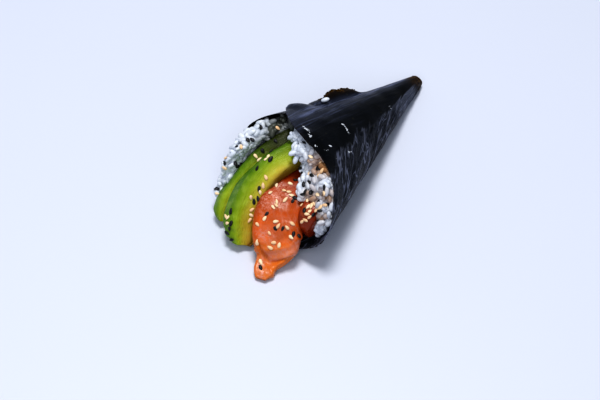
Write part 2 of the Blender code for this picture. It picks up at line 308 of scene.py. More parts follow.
def rollPoint(angle, length, offset):
    # (halfWidth L sin a, -L, middle + halfHeight L cos a), swollen in three places, never under the floor
    swell = 1 - 0.075 * bump(length, 43, 22) * roundBump(angle, -50, 55)
    swell = swell + 0.12 * smoothStep((length - 80) / 22) * roundBump(angle, -61, 30)
    swell = swell + 0.14 * bump(length, 17, 9) * roundBump(angle, 110, 45)
    turn = np.radians(angle)
    across = (roll["halfWidth"] * length * swell + offset) * np.sin(turn)
    up = (roll["halfHeight"] * length * swell + offset) * np.cos(turn)
    middle = (roll["halfHeight"] - roll["sink"]) * length
    height = np.maximum(middle + up, np.maximum(-offset, 0.02))
    return np.stack([across, -length + 0 * across, height], axis=-1) + roll["apex"]


def rimLength(angle):
    return curveThrough(roll["rimAngles"], roll["rimLengths"], angle)


def tuck(angle):  # 0 where the sheet is the outer layer, 1 where it has gone in under its other end
    return smoothStep((angle - (roll["outerEdge"] + 360 - roll["tuckAngle"])) / roll["tuckAngle"])


def edgeLift(angle, length):  # the free edge stands off the roll: a torn lip, a dip, and a hump at the rim
    fromEdge = angle - roll["outerEdge"]
    share = 1 - smoothStep(fromEdge / 22)
    lift = curveThrough(nori["liftLengths"], nori["lifts"], length) * share
    fold = -1.0 * bump(fromEdge, nori["foldAngle"], 4.5) * smoothStep((length - 52) / 8)
    return lift + fold * smoothStep((92 - length) / 8)


def fibrePlace(angle, length):  # along the fibres 1.25 L, and across them 85 (turn - a L + b ln(L / 80))
    turn = np.radians(angle) * roll["meanRadius"]
    sweep, drift = nori["fibreCurve"]
    return 1.25 * length, 85 * (turn - sweep * length + drift * np.log(length / 80))


def flankShare(angle, length):  # 1 on the crinkled side, with a border like flames
    along, across = fibrePlace(angle, length)
    flames = flatNoise(along / 24, across / 5, 12) + 0.6 * flatNoise(along / 12, across / 2, 13)
    border = nori["flankFrom"] - 16 * smoothStep((34 - length) / 18)
    return smoothStep((angle - border + 19 * flames) / 5) * smoothStep((192 - angle) / 25)


def tearShape(length):  # how far the torn edge stands out along its length, about -1.7 to 0.9
    return 0.5 * flatNoise(length / 2.6, 0, 10) + 0.8 * flatNoise(length / 0.9, 0, 11) - 0.4


def tornShare(length):  # 1 along the torn stretch of the free edge
    return smoothStep((length - nori["tearFrom"]) / 3) * smoothStep((nori["tearTo"] - length) / 8)


def tearAngle(length):  # how far the torn edge stands out, in degrees round the roll
    depth = nori["tearDepth"] * tearShape(length) * (0.1 + tornShare(length))
    return np.degrees(depth / (0.25 * length))


def tipShape(angle):  # how far the tip's end falls short, in mm
    return 0.35 * flatNoise(angle / 9, 0, 9) + 0.35


def noriRelief(angle, length):  # dents everywhere, fine threads on top, and sharp crinkles on the side
    along, across = fibrePlace(angle, length)
    side = flankShare(angle, length)
    wave = 0.9 * flatNoise(along / 6, across / 6, 14)
    crinkles = 1 - 2.4 * np.abs(flatNoise(along / 14, across / 2.6 + wave, 4))
    crinkles = crinkles + 0.4 * flatNoise(along / 5, across / 1.2, 5)
    arc = np.radians(angle) * length * roll["meanRadius"]
    threads = flatNoise(arc / 1.5 + length / 9, length / 14, 6)
    dents = softNoise(rollPoint(angle, length, 0 * angle), 7.0, 1)
    height = nori["dents"] * dents + nori["crinkles"] * crinkles * side
    height = height + nori["threads"] * threads * (1 - side)
    middle, along, high, radius = nori["blister"]
    away = ((angle - middle) * length * roll["arcPerDegree"]) ** 2 + (length - along) ** 2
    height = height + high * np.exp(-away / radius**2)
    covered = (1 - tuck(angle)) * (1 - 0.8 * roundBump(angle, 180, 16))
    return height * smoothStep((length - roll["tipLength"] + 2) / 12) * covered


def makeNori(material):
    # rollPoint over angle and length, with offset = lift of the free edge - tuck - inset + relief
    u = np.linspace(0, 1, nori["stepsRound"] + 1)[:, None]
    v = np.linspace(0, 1, nori["stepsAlong"] + 1)[None, :]
    angle = roll["outerEdge"] + (roll["innerEdge"] - roll["outerEdge"]) * u + 0 * v
    uneven = flatNoise(angle / 7, 0, 7) + 0.6 * flatNoise(angle / 1.8, 0, 8) - 1
    rim = rimLength(angle) + nori["rimUneven"] * uneven
    start = roll["tipLength"] + tipShape(angle)
    length = start + (rim - start) * v
    torn = tornShare(length)
    nearEdge = 1 - smoothStep((angle - roll["outerEdge"]) / 14)
    fromEdge = (angle - roll["outerEdge"]) * np.radians(roll["meanRadius"]) * length
    angle = angle - tearAngle(length) * nearEdge
    outer = edgeLift(angle, length) - (nori["cadThickness"] + nori["layerGap"]) * tuck(angle)
    outer = outer - nori["inset"] + noriRelief(angle, length)
    outside = rollPoint(angle, length, outer)
    inside = rollPoint(angle, length, outer - nori["thickness"])
    points, faces = closedSheet(outside, inside)  # from here on, what the material reads
    fringe = bump(fromEdge, 0, 1.3) * torn + 0.08 * bump(rim - length, 0, 0.8)
    fringe = fringe + bump(length - start, 0, 6.5) * (0.75 + 0.5 * flatNoise(angle / 14, length / 3, 15))
    along, across = fibrePlace(angle, length)
    uv = np.stack([along, across], axis=-1) / 10
    side = flankShare(angle, length)
    lip = torn * (1 - smoothStep((angle - roll["outerEdge"] - 9) / 6))
    hump = bump(angle, roll["outerEdge"], 16) * bump(length, 95, 7)
    # ridge: where the painted bluish sheen lies, along the top of the roll and on the hump by the rim
    ridge = np.maximum(bump(angle, -28, 20), hump) * (1 - lip) * smoothStep((length - 16) / 10)
    arc = angle * length * roll["arcPerDegree"]
    values = {"fringe": fringe, "side": side, "lip": lip, "ridge": ridge, "arc": arc, "length": length}
    # low: towards the low side, where the painted floor reflection on the crinkled side grows stronger
    values["low"] = smoothStep((angle - 50) / 50)
    values = {key: np.stack([value, value]) for key, value in values.items()}
    return makePiece("nori_sheet", points, faces, material, ("nori",), values, np.stack([uv, uv]))


def makeFringe(material):  # ragged flakes that stick out of the torn free edge and of the tip's end
    count = nori["flakes"]
    length = np.sort(random.uniform(nori["tearFrom"] + 1, nori["tearTo"] - 1, count))
    angle = roll["outerEdge"] - tearAngle(length)
    height = edgeLift(angle, length) - nori["inset"] - nori["thickness"] / 2
    centres = rollPoint(angle, length, height)
    out = unit(rollPoint(angle - 1, length, height) - centres)
    tipAngle = random.uniform(-90, 90, nori["tipFlakes"])
    tipLength = roll["tipLength"] + tipShape(tipAngle) + 0.6
    tipCentres = rollPoint(tipAngle, tipLength, -nori["inset"] - nori["thickness"] / 2 + 0 * tipAngle)
    centres = np.concatenate([centres, tipCentres])
    out = np.concatenate([out, np.tile([0, 1.0, 0], (nori["tipFlakes"], 1))])
    out = unit(out + random.normal(0, 0.35, out.shape))
    across = unit(np.cross(out, random.normal(size=out.shape)))
    axes = np.stack([out, across, np.cross(out, across)], axis=1)
    many = len(centres)
    edgeFlakes = 0.4 + tornShare(length) * random.uniform(0.1, 1.0, count)
    long = np.concatenate([edgeFlakes, random.uniform(0.3, 0.7, nori["tipFlakes"])])
    sizes = np.stack([long, random.uniform(0.18, 0.42, many), random.uniform(0.10, 0.18, many)], axis=1)
    points, faces, each = joinCopies(seedShape(), centres, axes, sizes)
    return makePiece("nori_fringe", points, faces, material, (), {"fringe": np.ones(many * each)})


def makeNoriTip(material):
    # The sheet's rolled-up start: angle 20 + 900 u, length 17 v beyond the tip, closing in on the axis with u
    u = np.linspace(0, 1, 121)[:, None]
    v = np.linspace(0, 1, 15)[None, :]
    angle = 20 + 900 * u + 0 * v
    length = roll["tipLength"] + 0.9 + 1.2 * u + 17 * v + 0.35 * np.sin(angle / 31)
    inward = -0.9 - (roll["halfHeight"] * length - 1.0) * (0.12 + 0.83 * u)
    points, faces = closedSheet(rollPoint(angle, length, inward), rollPoint(angle, length, inward - 0.22))
    fringe = 0.9 * bump(v, 0, 0.12) + 0 * u
    values = {"fringe": np.stack([fringe, fringe])}
    uv = np.stack([angle * 0.02, length], axis=-1) / 10
    return makePiece("nori_tip", points, faces, material, (), values, np.stack([uv, uv]))


def noriLook():
    look = Look("nori", Specular_IOR_Level=0.1)
    creases = look.noise(look.place((0.2, 1.0, 1), "UV"), 1.9, 3.0, 0.5, 0.8)
    crease = 1 - (creases - 0.5).math("ABSOLUTE", creases - 0.5).step(0.004, 0.035)
    wisps = look.noise(look.place((0.22, 1.0, 1), "UV"), 6.0, 4.0, 0.6, 0.6)
    wisp = 1 - (wisps - 0.5).math("ABSOLUTE", wisps - 0.5).step(0.01, 0.06)
    fine = look.noise(look.place(), 1000.0, 3.0, 0.6)
    patches = look.noise(look.place(), 95.0, 3.0, 0.55)
    side = look.value("side") * look.value("length").step(15, 25)
    base = look.ramp(patches, [(0.3, (0.0011, 0.0015, 0.0020)), (0.7, (0.0032, 0.0045, 0.0075))])
    lengthwise = look.add("ShaderNodeCombineXYZ", {}, {0: look.value("arc"), 1: look.value("length") * 0.07})
    threads = look.noise(lengthwise, 0.5, 5.0, 0.66, 1.0)
    # painted sheen: lighter bluish streaks along the fibres, strongest on the ridge and the hump
    paintedSheen = look.value("ridge") * (0.2 + threads.step(0.46, 0.66)) + 0.15 * threads.step(0.56, 0.75)
    base = look.mix(paintedSheen.clamp(), base, (0.095, 0.113, 0.195))
    # painted reflection of the floor on the crinkled side: lighter there, bluish near the tip, with pale
    # lines along the crinkles
    base = look.mix(side * 0.8, base, (0.008, 0.010, 0.015))
    nearTip = (1 - look.value("length").step(14, 62)) * look.value("length").step(17, 32)
    base = look.mix((side * nearTip * (0.45 + patches)).clamp(), base, (0.11, 0.125, 0.175))
    pale = side * (crease * (0.4 + 1.2 * patches) + 0.22 * wisp) * (0.55 + 0.6 * look.value("low"))
    base = look.mix(pale.clamp(), base, (0.16, 0.175, 0.245))
    specks = look.noise(look.place(), 520.0, 2.0, 0.5).step(0.68, 0.74)
    base = look.mix(specks * 0.5, base, (0.05, 0.048, 0.022))
    base = look.mix(look.value("lip") * 0.8, base, (0.009, 0.0055, 0.004))
    fringe = (look.value("fringe") * (0.45 + fine)).clamp()
    frayed = look.noise(look.place(), 900.0, 3.0).step(0.42, 0.6)
    base = look.mix(fringe, base, look.mix(frayed, (0.020, 0.008, 0.004), (0.12, 0.062, 0.012)))
    rough = (0.20 + 0.20 * patches + 0.10 * fine + 0.10 * side + 0.3 * fringe).clamp()
    height = side * (0.6 * crease + 0.3 * wisp) + 0.6 * threads + 0.1 * fine
    return look.feed(Base_Color=base, Roughness=rough, Normal=look.bumpFrom(height, 0.0005, 0.6))


# Each row is a place along the filling, (x, y, z) from the apex, with the section's sizes there
frontSlice = {
    "lean": -20.0,  # the section is turned by this many degrees
    "seed": 21,
    "shaded": 0.0,  # how dark its deep end is
    "rows": (
        ((3.2, -80, 24), 5, 4, 3), ((3, -84, 27), 10, 8, 5),
        ((2, -95, 33), 14, 10, 6), ((0.5, -109, 37), 16, 11, 6.5),
        ((-1.3, -121, 37.5), 16.5, 11.5, 7), ((-3.8, -128.7, 36.2), 17, 11.5, 7),
        ((-5.5, -135.7, 33), 17, 11.5, 7), ((-6.6, -142, 28.5), 17.5, 11, 7),
        ((-6.2, -148.8, 22), 18.2, 10, 6), ((-4.7, -153.8, 15.5), 17.8, 9, 5.5),
        ((-2.4, -157.2, 10), 17, 7, 5), ((-1, -159.6, 6.8), 15, 5, 4),
        ((-0.4, -161, 4.8), 10, 2.8, 2.4),
    ),
}
rearSlice = {
    "lean": -20.0,
    "seed": 22,
    "shaded": 0.92,
    "rows": (
        ((-2, -84, 21), 5, 4, 3), ((-3, -90, 25), 10, 7, 5),
        ((-5.5, -100, 31.5), 15, 9, 6), ((-8.3, -111, 33.8), 17, 10, 6),
        ((-11, -118, 32.5), 17.5, 10, 6), ((-13.8, -125, 29.2), 17, 10, 6),
        ((-15.6, -133.5, 24.3), 17, 9.5, 6), ((-17, -141.6, 19), 16.5, 9, 6),
        ((-18, -147, 14.4), 15.5, 8, 5.5), ((-17.8, -151.3, 9.9), 13.5, 6.5, 4.5),
        ((-17.2, -153.9, 6.6), 11, 4.5, 3.5), ((-16.8, -155.4, 4.6), 6, 2.5, 2),
    ),
}
frontStrip = {
    "lean": 0.0,
    "seed": 23,
    "flesh": (0.66, 0.125, 0.006),
    "tongue": (0.64, 0.185, 0.026),
    "fat": (0.62, 0.26, 0.19),
    "fatShare": 0.7,
    "fatAndSheenSpots": (  # pale mottled places of fat, the first two also painted sheen: across, run, and how far each reaches
        (0.20, 64, 0.18, 4.5), (0.45, 58, 0.15, 4.0),
        (0.27, 77, 0.22, 3.0), (0.70, 70.5, 0.12, 2.2),
        (0.30, 93, 0.30, 3.5), (0.60, 98, 0.30, 3.0),
    ),
    "creaseAcross": (0, 0.08, 0.16, 0.32, 0.62, 0.84, 1),  # where the tongue comes out from under the strip
    "creaseAlong": (77, 79.8, 84.4, 88.7, 90.9, 88.7, 86),
    "crestAcross": (0, 0.3, 0.51, 0.65, 0.78, 0.9, 1),  # the upper border of the cut end
    "crestAlong": (84, 84.5, 83.1, 81.8, 80.5, 77.7, 76),
    "rows": (
        ((0, -78, 14), -4, 4, -3, 3), ((0.3, -82, 15), -7, 7, -4.5, 4.5),
        ((1, -98, 18), -9.5, 9, -5.5, 5.5), ((3, -114, 20.5), -11.5, 11, -6, 6),
        ((5, -127, 21.5), -12.5, 12.3, -6.3, 6.3), ((7.3, -137, 20), -13.3, 11.8, -6.5, 6.5),
        ((9.6, -144.5, 16.5), -13.5, 11.3, -6.5, 6.5), ((12.5, -150, 12), -12.8, 11.6, -5.8, 6),
        ((15.3, -154.5, 7.8), -11, 10.5, -4.6, 5), ((16.6, -158, 5.3), -9.5, 6.5, -4, 3.4),
        ((17.3, -161.5, 4.1), -8, 4, -3.4, 1.8), ((18.2, -166, 3), -6.8, 3.3, -2.6, 1.6),
        ((19, -169, 2.3), -4.5, 1.5, -1.8, 0.9),
    ),
}
sideStrip = {
    "lean": 0.0,
    "seed": 24,
    # darker than the front strip: soaked in soy, and painted shade of the recess where it lies
    "flesh": (0.34, 0.048, 0.010),
    "tongue": (0.26, 0.035, 0.006),
    "fat": (0.45, 0.14, 0.055),
    "fatShare": 0.5,
    "fatAndSheenSpots": ((0.4, 40, 0.2, 3), (0.7, 34, 0.2, 3)),
    "rows": (
        ((12, -98, 13), -2, 2, -2.5, 2.5), ((13, -102, 13.5), -4, 4, -4.5, 4.5),
        ((16, -112, 15.5), -4.5, 4.5, -6.5, 7.5), ((19, -126, 18), -5.3, 5, -7.8, 10.5),
        ((21, -135, 18.2), -5.3, 4.8, -9.3, 12.5), ((22.2, -140, 16.5), -4.5, 4.3, -7.8, 10),
        ((22.8, -143, 15.5), -2.5, 2.5, -5, 6),
    ),
}


def roundedOutline(corners, radius, count):  # corners rounded by quadratic curves, then spaced evenly
    corners = np.asarray(corners, float)
    points = []
    for corner, before, after in zip(corners, np.roll(corners, 1, axis=0), np.roll(corners, -1, axis=0)):
        into, out = unit(before - corner), unit(after - corner)
        for t in np.linspace(0, 1, 9):
            points.append(corner + radius * (into * (1 - t) ** 2 + out * t**2))
    points.append(points[0])
    points = np.array(points)
    run = np.concatenate([[0], np.cumsum(np.linalg.norm(np.diff(points, axis=0), axis=1))])
    at = np.linspace(0, run[-1], count, endpoint=False)
    return np.stack([np.interp(at, run, points[:, 0]), np.interp(at, run, points[:, 1])], axis=1)


def avocadoOutline(width, skinDepth, pitDepth, count):
    corners = [(-0.36 * width, 0), (0.3 * width, 0), (0.48 * width, -pitDepth), (-0.56 * width, -skinDepth)]
    return roundedOutline(corners, 0.17 * width, count)


def stripOutline(left, right, low, high, count):
    corners = [(left, high), (right, high), (right, low), (left, low)]
    return roundedOutline(corners, 0.42 * min(right - left, high - low), count)


def loft(filling, outline, stepsAlong, stepsRound):
    # Rings of the outline across a smooth path through the rows: place + a * side + b * rise
    places = np.array([row[0] for row in filling["rows"]], float)
    sizes = np.array([row[1:] for row in filling["rows"]], float)
    run = np.concatenate([[0], np.cumsum(np.linalg.norm(np.diff(places, axis=0), axis=1))])
    t = np.linspace(0, 1, stepsAlong + 1)
    at = run[-1] * (0.6 * t + 0.4 * (1 - np.cos(np.pi * t)) / 2)
    path, size = curveThrough(run, places, at), curveThrough(run, sizes, at)
    ahead = unit(np.gradient(path, axis=0))
    level = unit(np.cross([0, 0, 1.0], ahead))
    up = np.cross(ahead, level)
    turn = np.radians(filling["lean"])
    side = np.cos(turn) * level + np.sin(turn) * up
    rise = np.cos(turn) * up - np.sin(turn) * level
    flat = np.stack([outline(*row, stepsRound) for row in size])
    rings = path[:, None] + flat[..., :1] * side[:, None] + flat[..., 1:] * rise[:, None]
    left, right = flat[..., 0].min(axis=1, keepdims=True), flat[..., 0].max(axis=1, keepdims=True)
    across = (flat[..., 0] - left) / (right - left)
    return rings + roll["apex"], flat, at[:, None] + 0 * across, across


def pushOut(rings, height):  # moves a ringed surface along its own normals
    along = np.gradient(rings, axis=0)
    around = np.roll(rings, -1, axis=1) - np.roll(rings, 1, axis=1)
    normal = unit(np.cross(around, along))
    out = np.sign((normal * (rings - rings.mean(axis=1, keepdims=True))).sum(-1).mean())
    moved = rings + normal * out * height[..., None]
    moved[..., 2] = np.maximum(moved[..., 2], 0.02)
    return moved


def closeEnds(rings, name, material, replaced, values, uv):  # adds a middle point at each end
    rows, columns = rings.shape[:2]
    count = rows * columns
    points = np.concatenate([rings.reshape(-1, 3), rings[:1].mean(axis=1), rings[-1:].mean(axis=1)])
    first, last = np.arange(columns), count - columns + np.arange(columns)
    ends = [[count, b, a] for a, b in zip(first, np.roll(first, -1))]
    ends += [[count + 1, a, b] for a, b in zip(last, np.roll(last, -1))]
    faces = gridFaces(rows, columns, closed=True)
    if enclosed(points, faces) < 0:
        faces, ends = faces[:, ::-1], [end[::-1] for end in ends]
    full = {key: np.concatenate([v.ravel(), v[0, :1], v[-1, :1]]) for key, v in values.items()}
    uvs = np.concatenate([uv.reshape(-1, 2), uv[0, :1], uv[-1, :1]])
    return makePiece(name, points, faces.tolist() + ends, material, replaced, full, uvs)


def makeAvocado(name, replaced, wedge):
    # The loft, pushed out by ridges of noise, less a hollow along the pit side, plus a shoulder by the skin
    rings, flat, run, across = loft(wedge, avocadoOutline, stepsAlong=150, stepsRound=96)
    onTop = smoothStep((flat[..., 1] + 1.8) / 1.8)
    ridges = 0.30 * flatNoise(run / 10, across * 5, wedge["seed"])
    ridges = ridges + 0.14 * softNoise(rings, 2.6, wedge["seed"] + 1)
    hollow = -0.9 * bump(across, 0.66, 0.18) * onTop
    shoulder = 0.35 * bump(across, 0.30, 0.08) * onTop
    rings = pushOut(rings, ridges + hollow + shoulder - 0.3)
    values = {"across": across, "onTop": onTop, "along": run / run.max()}
    uv = np.stack([across * 1.6, run / 10], axis=-1)
    return closeEnds(rings, name, avocadoLook(replaced, wedge), (replaced,), values, uv)


def makeSalmon(name, replaced, strip):
    # The loft, pushed out by noise, less a groove where the tongue starts, plus the crest of the cut end
    rings, flat, run, across = loft(strip, stripOutline, stepsAlong=190, stepsRound=110)
    width = np.ptp(flat[..., 0], axis=1)[:, None]
    onTop = smoothStep((flat[..., 1] / flat[..., 1].max(axis=1, keepdims=True) + 0.4) / 0.6)
    relief = 0.6 * flatNoise(run / 13, across * 2.5, strip["seed"])
    relief = relief + 0.35 * softNoise(rings, 4.5, strip["seed"] + 1)
    relief = relief + 0.05 * softNoise(rings, 1.7, strip["seed"] + 2)
    cut = 0 * run
    # the pale spots: fat, and on the first two painted sheen
    fat = sum(bump(across, a, reach) * bump(run, r, long) for a, r, reach, long in strip["fatAndSheenSpots"])
    if "creaseAcross" in strip:
        crease = curveThrough(strip["creaseAcross"], strip["creaseAlong"], across)
        crest = curveThrough(strip["crestAcross"], strip["crestAlong"], across)
        inner = onTop * smoothStep((across - 0.02) / 0.12)
        relief = relief - 1.2 * bump(run, crease, 1.4) * inner + 0.7 * bump(run, crest, 1.9) * inner
        ridge = 0.37 + (run - 89.8) * 0.11
        relief = relief + 0.5 * bump(across, ridge, 0.16) * smoothStep((run - crease - 1) / 2.5)
        fold = 0.7 * smoothStep((run - 67.5 - 2 * across) / 1.2) * bump(run, 71, 5)
        relief = relief + fold * smoothStep((across - 0.5) / 0.3)
        cut = smoothStep((run - crest) / 1.2) * smoothStep((crease - run) / 1.2) * onTop
    rings = pushOut(rings, relief - 0.4)
    values = {"across": across, "along": run / run.max(), "cut": cut, "fat": fat}
    uv = np.stack([across * width / 10, run / 10], axis=-1)
    return closeEnds(rings, name, salmonLook(replaced, strip), (replaced,), values, uv)


def avocadoLook(name, wedge):
    look = Look(name, Specular_IOR_Level=0.32, Subsurface_Weight=0.1, Subsurface_Scale=0.003)
    look.shader.inputs["Subsurface Radius"].default_value = (0.8, 1.0, 0.1)
    across = look.value("across")
    wander = look.noise(look.place((1, 0.35, 1), "UV"), 2.2, 4.0, 0.55) - 0.5
    greener = 0.62 + 0.38 * look.value("along").step(0.35, 0.62)
    fromSkin = (across * greener + 0.12 * look.value("along").step(0.68, 0.9) + 0.22 * wander).clamp()
    stops = [
        (0.0, (0.060, 0.17, 0.001)),
        (0.12, (0.085, 0.20, 0.002)),
        (0.28, (0.17, 0.28, 0.003)),
        (0.46, (0.33, 0.42, 0.013)),
        (0.68, (0.52, 0.45, 0.050)),
        # towards the pit edge: golden flesh, then orange brown that is partly painted light bounced from the
        # salmon
        (0.88, (0.44, 0.29, 0.025)),
        (1.0, (0.26, 0.12, 0.006)),
    ]
    base = look.ramp(fromSkin, stops)
    mottled = look.noise(look.place(), 260.0, 4.0, 0.6)
    base = look.mix(mottled.step(0.42, 0.75) * 0.25, base, (0.50, 0.62, 0.12))
    # painted shade of the nori over the slice's upper end, inside the roll
    upperShade = 1 - look.value("along").step(0.35, 0.6)
    base = look.mix(upperShade * 0.35, base, (0.12, 0.09, 0.004))
    # painted shade on the underside towards the pit side, brownish
    undersideShade = 1 - look.value("onTop")
    base = look.mix(undersideShade * across.step(0.45, 0.8) * 0.7, base, (0.16, 0.09, 0.008))
    # painted shade on the deep end inside the roll, as strong as the slice's shaded value
    inRoll = wedge["shaded"] - wedge["shaded"] * look.value("along").step(0.45, 0.72)
    base = look.mix(inRoll, base, (0.020, 0.023, 0.003))
    streaks = look.noise(look.place((3.2, 0.5, 1), "UV"), 6.0, 4.0, 0.6)
    rough = (0.16 + 0.4 * look.noise(look.place(), 420.0, 3.0)).clamp()
    normal = look.bumpFrom(0.6 * streaks + 0.4 * mottled, 0.0010, 0.9)
    return look.feed(Base_Color=base, Roughness=rough, Normal=normal)


def salmonLook(name, strip):
    flesh, fat, share = strip["flesh"], strip["fat"], strip["fatShare"]
    look = Look(name, Specular_IOR_Level=0.3, Subsurface_Weight=0.15, Subsurface_Scale=0.003)
    look.shader.inputs["Subsurface Radius"].default_value = (1.0, 0.3, 0.12)
    place = look.place((1, 1, 1), "UV", 38)
    inputs = {"Vector": place, "Scale": 1.1, "Distortion": 4.0, "Detail": 3.0, "Detail Scale": 1.2}
    waves = look.add("ShaderNodeTexWave", {"wave_profile": "SIN"}, inputs, "Fac")
    patches = look.noise(look.place((1, 0.6, 1), "UV"), 1.1, 3.0, 0.5)
    lines = waves.step(0.70, 0.98) * patches.step(0.45, 0.62)
    fine = look.noise(look.place((6, 1.2, 1), "UV", 38), 2.4, 5.0, 0.6)
    clouds = look.noise(look.place(), 130.0, 3.0).step(0.35, 0.65)
    base = look.mix(clouds * 0.7, flesh, [0.60 * part for part in flesh])
    across, along = look.value("across"), look.value("along")
    base = look.mix(along.step(0.76, 0.86) * 0.8, base, strip["tongue"])
    base = look.mix(lines * 0.4 * share, base, fat)
    base = look.mix(fine.step(0.50, 0.70) * patches.step(0.45, 0.6) * share * 0.6, base, fat)
    grainy = look.noise(look.place(), 750.0, 4.0, 0.65).step(0.46, 0.58)
    base = look.mix(look.value("cut") * (0.35 + 0.35 * grainy), base, fat)
    # painted shade: darker red deeper in the roll and along the borders next to the avocado and the side
    # piece
    border = ((1 - across.step(0.04, 0.2)) * 0.6 + across.step(0.84, 0.99)) * (1 - along.step(0.62, 0.86))
    paintedShade = ((1 - along.step(0.5, 0.78)) * 0.8 + border * 0.4).clamp()
    base = look.mix(paintedShade, base, (0.23, 0.026, 0.0025))
    # pale grainy spots of fat and painted sheen
    base = look.mix((look.value("fat") * (0.12 + 0.68 * grainy)).clamp(), base, fat)
    mottled = look.noise(look.place(), 330.0, 3.0)
    rough = (0.08 + 0.34 * mottled).clamp()
    normal = look.bumpFrom(0.3 * fine + 0.3 * mottled + 0.4 * grainy * look.value("fat"), 0.0005, 0.45)
    return look.feed(Base_Color=base, Roughness=rough, Normal=normal)


rice = {
    "start": 20.0,
    "middleHeight": 27.0,
    "dipLength": 106.0,
    "angles": (-180, -150, -130, -112, -90, -73, -52, -25, 0, 25, 45, 62, 80, 100, 130, 160, 180),
    "lengths": (140, 144, 150, 152, 148, 137, 114, 112, 118, 123, 127, 131, 136, 139, 140, 139, 140),
    "dipAngles": (-180, -125, -90, -73, -52, -25, 0, 25, 60, 80, 100, 140, 180),
    "dipEdges": (0.85, 0.97, 0.95, 0.88, 0.75, 0.6, 0.5, 0.36, 0.38, 0.4, 0.7, 0.8, 0.85),
    "dipWidth": 0.22,
    "coreInset": 0.9,  # the core lies this far under the heap's outline
    "lumpiness": 0.9,
    "setBack": 6.0,  # how much deeper the rice starts under the hump of the rim
    "grainLength": 4.7,
    "grainWidth": 2.8,
    "tries": 60000,
    "spacing": 1.9,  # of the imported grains
    "looseSpacing": 3.2,  # of the ones that stand proud of them
    "grainDepths": (1.1, 0.1),  # how deep both kinds lie under the heap's outline
    "jitter": 0.25,
    "grainTilt": 0.45,
    "roomBesideFilling": -0.4,  # the middle of a grain may lie this far inside a filling
    "roomBesidePiece": 1.0,
    "roomInSheet": 1.4,
    "roomAboveFloor": 1.6,
    "sauce": (  # soaked places: place from the apex, radius
        ((15, -125, 43), 5.0), ((20, -126, 45), 3.5),
        ((19, -136.5, 33), 4.5), ((27, -133, 37), 3.2),
        ((28, -136, 27), 3.0),
    ),
    "shade": (  # painted shade under the hump of the rim
        ((-20, -107, 35), 6.0), ((-12, -110, 40), 5.0),
        ((-19, -114, 34), 4.0), ((-20, -121, 30), 4.0),
    ),
    "lumps": (  # places where the heap stands out or falls back: place, radius, height
        ((6, -121.5, 43), 4.5, 2.2), ((15, -125.5, 44), 4.0, -2.2),
        ((18, -129, 38.5), 5.0, 2.3), ((25.5, -130.3, 43), 4.0, 1.8),
        ((27.5, -132.8, 38), 2.5, -1.5), ((27, -135.5, 31), 4.0, 1.6),
        ((29.5, -138, 19), 3.5, 1.5), ((-24, -118, 31), 5.0, 1.0),
    ),
    "strayAlong": (0.82, 0.57, 0.0),  # the one grain outside the sheet lies flat on it, this way
    "strayNormal": (-0.55, 0.20, 0.81),
    "clumps": (  # loose grains: place from the apex, spread, count; the one on its own lies outside
        ((1.5, -123.0, 41.5), 2.4, 14), ((5, -122.5, 44), 2.2, 12),
        ((-5, -117, 42.5), 1.2, 5), ((7.7, -121, 44.5), 2.2, 9),
        ((11, -121.5, 43), 2.2, 8), ((3, -119, 45.5), 1.6, 5),
        ((-2.5, -118, 45), 1.2, 4), ((-13, -80.7, 33.2), 0.3, 1),
        ((-29, -141.5, 14), 1.6, 6), ((-28.5, -145.5, 10), 1.5, 4),
        ((23.5, -130.5, 40.5), 2.8, 14), ((29, -137, 28), 2.5, 8),
        ((28, -137, 19), 2.0, 5),
    ),
}


leftmost = cadBounds[0][0] / mm + rice["grainLength"] * 0.58  # for the middle of a grain


def riceOffset(angle):  # how far inside the outer layer the rice lies: further where the sheet is double
    alongSheet = np.where(angle < roll["outerEdge"], angle + 360, angle)
    pastInnerEnd = smoothStep((angle - (roll["innerEdge"] - 360) - 3) / 20)
    tucked = np.where(angle < roll["outerEdge"], tuck(alongSheet), 1 - pastInnerEnd)
    return -1.0 - (nori["cadThickness"] + nori["layerGap"]) * tucked, alongSheet


def riceWallEnd(angle):
    frontEnd = curveThrough(rice["angles"], rice["lengths"], angle)
    setBack = rice["setBack"] * roundBump(angle, -56, 17)
    return np.minimum(rimLength(riceOffset(angle)[1]), frontEnd) - 2.5 - setBack, frontEnd - setBack


def riceFront(angle, share, inset=0.0):
    # Share 0 at the sheet's rim, 1 in the middle; the front stands out by (full - wallEnd) * out
    wallEnd, frontEnd = riceWallEnd(angle)
    edge = rollPoint(angle, wallEnd, riceOffset(angle)[0] - inset)
    middle = roll["apex"] + np.array([0, 0, rice["middleHeight"]])
    reach = np.cos(share * np.pi / 2) ** 0.7
    out = (1 - reach**4) ** 0.25
    point = middle + (edge - middle) * reach[..., None]
    dipEdge = curveThrough(rice["dipAngles"], rice["dipEdges"], angle)
    outOfDip = smoothStep((reach - dipEdge) / rice["dipWidth"] + 1)
    full = rice["dipLength"] + (frontEnd - rice["dipLength"]) * outOfDip
    lumps = rice["lumpiness"] * flatNoise(angle / 14, reach * 5, 33) * out
    point[..., 1] = roll["apex"][1] - (wallEnd + (full + lumps - wallEnd) * out - inset * out)
    raised = 0 * point
    for place, radius, height in rice["lumps"]:
        away = ((point - roll["apex"] - np.array(place)) ** 2).sum(axis=-1, keepdims=True)
        raised = raised + height * np.exp(-away / radius**2) * np.array([0, -0.8, 0.6])
    return point + raised * out[..., None]


def nearSpots(points, spots):  # 1 at the middle of each spot, fading with the square of the distance
    total = 0.0
    for place, radius in spots:
        distance = np.linalg.norm(points - roll["apex"] - np.array(place), axis=-1)
        total = total + np.exp(-((distance / radius) ** 2))
    return np.clip(total, 0, 1)


